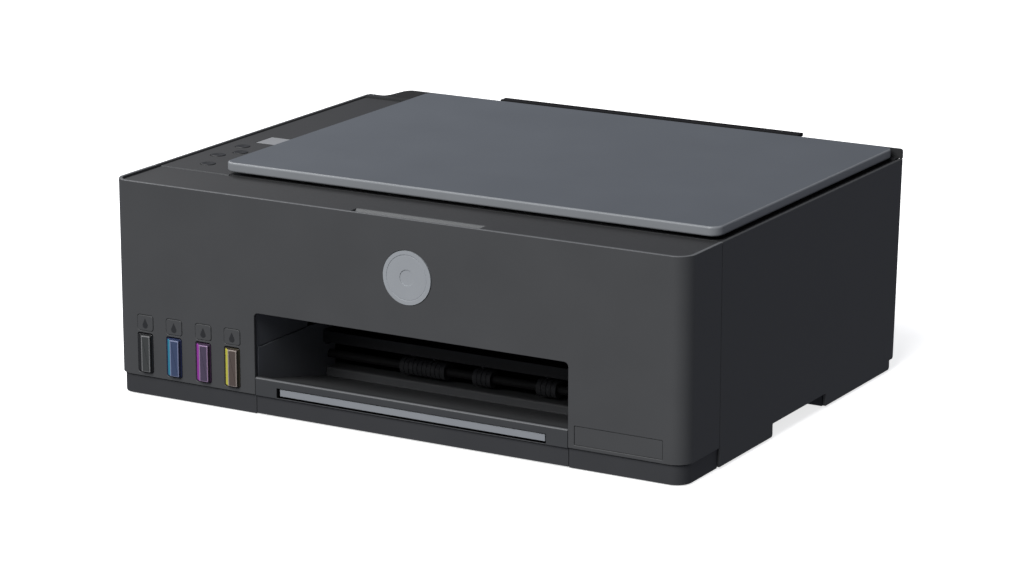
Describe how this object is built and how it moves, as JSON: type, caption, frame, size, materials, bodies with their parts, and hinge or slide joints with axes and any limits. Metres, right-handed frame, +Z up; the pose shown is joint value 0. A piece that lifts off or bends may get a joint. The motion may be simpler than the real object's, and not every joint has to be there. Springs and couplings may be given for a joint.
{
  "type": "inkjet printer",
  "caption": "Flatbed all-in-one tank inkjet printer with a tilting scanner lid, drop-down front panel, ink windows and pull-out output tray",
  "frame": {"origin": "on the floor, under the middle of the object's box", "axes": "+X to the right seen from the front, -Y out of the front panel, +Z up"},
  "size_m": [0.4346, 0.3614, 0.157],
  "materials": {
    "case": "fine moulded grain, satin",
    "top": "fine moulded grain, satin",
    "socket": "satin",
    "inner_black": "satin",
    "glass": "polished",
    "ink_black": "glossy, tinted",
    "ink_cyan": "glossy, tinted",
    "ink_magenta": "glossy, tinted",
    "ink_yellow": "glossy, tinted",
    "tube": "smooth silicone",
    "mouth": "fine grain",
    "steel": "zinc plated sheet",
    "chassis": "black coated sheet",
    "belt": "matt",
    "rubber": "matt",
    "gear": "acetal, satin",
    "board": "solder mask",
    "emblem": "satin, spun",
    "lid": "fine grain, satin",
    "foam": "white film on foam",
    "tray_black": "satin",
    "extender": "satin",
    "latch": "glossy",
    "sled": "satin",
    "button": "satin"
  },
  "bodies": {
    "housing": {"base_housing": "case", "side_cover_left": "case", "side_cover_right": "case", "rear_cover": "case", "power_inlet": "socket", "usb_port": "socket", "front_top_strip": "top", "scanner_bezel": "top", "scanner_bed": "inner_black", "scanner_glass": "glass", "control_panel": "top", "rear_feed_housing": "case", "ink_tank_black": "ink_black", "ink_tank_cyan": "ink_cyan", "ink_tank_magenta": "ink_magenta", "ink_tank_yellow": "ink_yellow", "ink_tubes": "tube", "output_tray": "mouth", "star_wheel_bar": "inner_black", "carriage_chassis": "chassis", "carriage_motor": "steel", "paper_motor": "steel", "drive_belt": "belt", "platen": "inner_black", "power_supply": "inner_black", "circuit_board": "board"},
    "front_door": {"front_door": "case", "emblem_disc": "emblem"},
    "lid": {"lid_shell": "lid", "lid_backing": "foam", "lid_hinge_left": "inner_black", "lid_hinge_right": "inner_black"},
    "scan_bar": {"scan_bar": "inner_black"},
    "paper_support": {"paper_support": "tray_black"},
    "support_extension": {"support_extension": "tray_black"},
    "width_guide_left": {"width_guide_left": "tray_black"},
    "width_guide_right": {"width_guide_right": "tray_black"},
    "tray_extender": {"tray_extender": "extender"},
    "carriage": {"carriage_housing": "inner_black", "printhead_unit": "inner_black"},
    "head_latch": {"head_latch": "latch"},
    "motor_pulley": {"motor_pulley": "gear"},
    "idler_pulley": {"idler_pulley": "gear"},
    "feed_roller": {"feed_roller": "steel", "feed_gear": "gear"},
    "output_roller": {"output_roller": "rubber", "output_gear": "gear"},
    "pick_roller": {"pick_roller": "rubber"},
    "star_wheels": {"star_wheels": "steel"},
    "idler_gear": {"idler_gear": "gear"},
    "motor_pinion": {"motor_pinion": "gear"},
    "service_sled": {"service_sled": "sled"},
    "power_button": {"power_button": "button"},
    "cancel_button": {"cancel_button": "button"},
    "copy_button": {"copy_button": "button"},
    "wireless_button": {"wireless_button": "button"},
    "tank_cap_black": {"tank_cap_black": "ink_black"},
    "tank_cap_cyan": {"tank_cap_cyan": "ink_cyan"},
    "tank_cap_magenta": {"tank_cap_magenta": "ink_magenta"},
    "tank_cap_yellow": {"tank_cap_yellow": "ink_yellow"}
  },
  "joints": [
    {"name": "lid_hinge", "type": "hinge", "parent": "housing", "child": "lid", "pos_m": [0.025, 0.14285, 0.1536], "axis": [-1, 0, 0], "range_deg": [0, 78]},
    {"name": "front_door_hinge", "type": "hinge", "parent": "housing", "child": "front_door", "pos_m": [0, -0.1765, 0.0159], "axis": [-1, 0, 0], "range_deg": [-90, 0]},
    {"name": "scan_bar_slide", "type": "slide", "parent": "housing", "child": "scan_bar", "axis": [1, 0, 0], "range_m": [0, 0.285]},
    {"name": "paper_support_hinge", "type": "hinge", "parent": "housing", "child": "paper_support", "pos_m": [0.01465, 0.15075, 0.061], "axis": [-1, 0, 0], "range_deg": [0, 14]},
    {"name": "support_extension_slide", "type": "slide", "parent": "paper_support", "child": "support_extension", "axis": [0, 0, 1], "range_m": [0, 0.06]},
    {"name": "width_guide_left_slide", "type": "slide", "parent": "housing", "child": "width_guide_left", "axis": [1, 0, 0], "range_m": [0, 0.036]},
    {"name": "width_guide_right_slide", "type": "slide", "parent": "housing", "child": "width_guide_right", "axis": [1, 0, 0], "range_m": [-0.036, 0]},
    {"name": "tray_extender_slide", "type": "slide", "parent": "housing", "child": "tray_extender", "axis": [0, -0.9766, 0.2149], "range_m": [0, 0.045]},
    {"name": "carriage_slide", "type": "slide", "parent": "housing", "child": "carriage", "axis": [1, 0, 0], "range_m": [-0.285, 0]},
    {"name": "head_latch_hinge", "type": "hinge", "parent": "carriage", "child": "head_latch", "pos_m": [0.165, -0.02775, 0.087], "axis": [-1, 0, 0], "range_deg": [0, 30]},
    {"name": "motor_pulley_spin", "type": "hinge", "parent": "housing", "child": "motor_pulley", "pos_m": [-0.19, -0.01475, 0.099], "axis": [0, 1, 0], "range_deg": [-3400, 100]},
    {"name": "idler_pulley_spin", "type": "hinge", "parent": "housing", "child": "idler_pulley", "pos_m": [0.194, -0.01475, 0.099], "axis": [0, 1, 0], "range_deg": [-3400, 100]},
    {"name": "feed_roller_spin", "type": "hinge", "parent": "housing", "child": "feed_roller", "pos_m": [0, -0.00275, 0.024], "axis": [1, 0, 0], "continuous": true},
    {"name": "output_roller_spin", "type": "hinge", "parent": "housing", "child": "output_roller", "pos_m": [0, -0.08575, 0.0209], "axis": [1, 0, 0], "continuous": true},
    {"name": "pick_roller_spin", "type": "hinge", "parent": "housing", "child": "pick_roller", "pos_m": [0, 0.12225, 0.063], "axis": [1, 0, 0], "continuous": true},
    {"name": "star_wheels_spin", "type": "hinge", "parent": "housing", "child": "star_wheels", "pos_m": [0, -0.08575, 0.0321], "axis": [1, 0, 0], "continuous": true},
    {"name": "idler_gear_spin", "type": "hinge", "parent": "housing", "child": "idler_gear", "pos_m": [-0.1965, -0.04671, 0.04328], "axis": [1, 0, 0], "continuous": true},
    {"name": "motor_pinion_spin", "type": "hinge", "parent": "housing", "child": "motor_pinion", "pos_m": [-0.1965, -0.03739, 0.07805], "axis": [1, 0, 0], "continuous": true},
    {"name": "service_sled_slide", "type": "slide", "parent": "housing", "child": "service_sled", "axis": [0, 1, 0], "range_m": [0, 0.018]},
    {"name": "power_button_press", "type": "slide", "parent": "housing", "child": "power_button", "axis": [0, 0, -1], "range_m": [0, 0.0008], "stiffness_N_per_m": 300},
    {"name": "cancel_button_press", "type": "slide", "parent": "housing", "child": "cancel_button", "axis": [0, 0, -1], "range_m": [0, 0.0008], "stiffness_N_per_m": 300},
    {"name": "copy_button_press", "type": "slide", "parent": "housing", "child": "copy_button", "axis": [0, 0, -1], "range_m": [0, 0.0008], "stiffness_N_per_m": 300},
    {"name": "wireless_button_press", "type": "slide", "parent": "housing", "child": "wireless_button", "axis": [0, 0, -1], "range_m": [0, 0.0008], "stiffness_N_per_m": 300},
    {"name": "tank_cap_black_hinge", "type": "hinge", "parent": "housing", "child": "tank_cap_black", "pos_m": [-0.193, -0.14275, 0.085], "axis": [-1, 0, 0], "range_deg": [0, 100]},
    {"name": "tank_cap_cyan_hinge", "type": "hinge", "parent": "housing", "child": "tank_cap_cyan", "pos_m": [-0.1695, -0.14275, 0.085], "axis": [-1, 0, 0], "range_deg": [0, 100]},
    {"name": "tank_cap_magenta_hinge", "type": "hinge", "parent": "housing", "child": "tank_cap_magenta", "pos_m": [-0.1457, -0.14275, 0.085], "axis": [-1, 0, 0], "range_deg": [0, 100]},
    {"name": "tank_cap_yellow_hinge", "type": "hinge", "parent": "housing", "child": "tank_cap_yellow", "pos_m": [-0.1225, -0.14275, 0.085], "axis": [-1, 0, 0], "range_deg": [0, 100]}
  ],
  "couplings": [
    {"joint": "width_guide_right_slide", "follows": "width_guide_left_slide", "ratio": -1},
    {"joint": "output_roller_spin", "follows": "feed_roller_spin", "ratio": 1.2},
    {"joint": "pick_roller_spin", "follows": "feed_roller_spin", "ratio": 0.583},
    {"joint": "star_wheels_spin", "follows": "feed_roller_spin", "ratio": -1.5},
    {"joint": "idler_gear_spin", "follows": "feed_roller_spin", "ratio": -0.6},
    {"joint": "motor_pinion_spin", "follows": "feed_roller_spin", "ratio": 3},
    {"joint": "motor_pulley_spin", "follows": "carriage_slide", "rad_per_m": 175.44},
    {"joint": "idler_pulley_spin", "follows": "carriage_slide", "rad_per_m": 175.44}
  ]
}
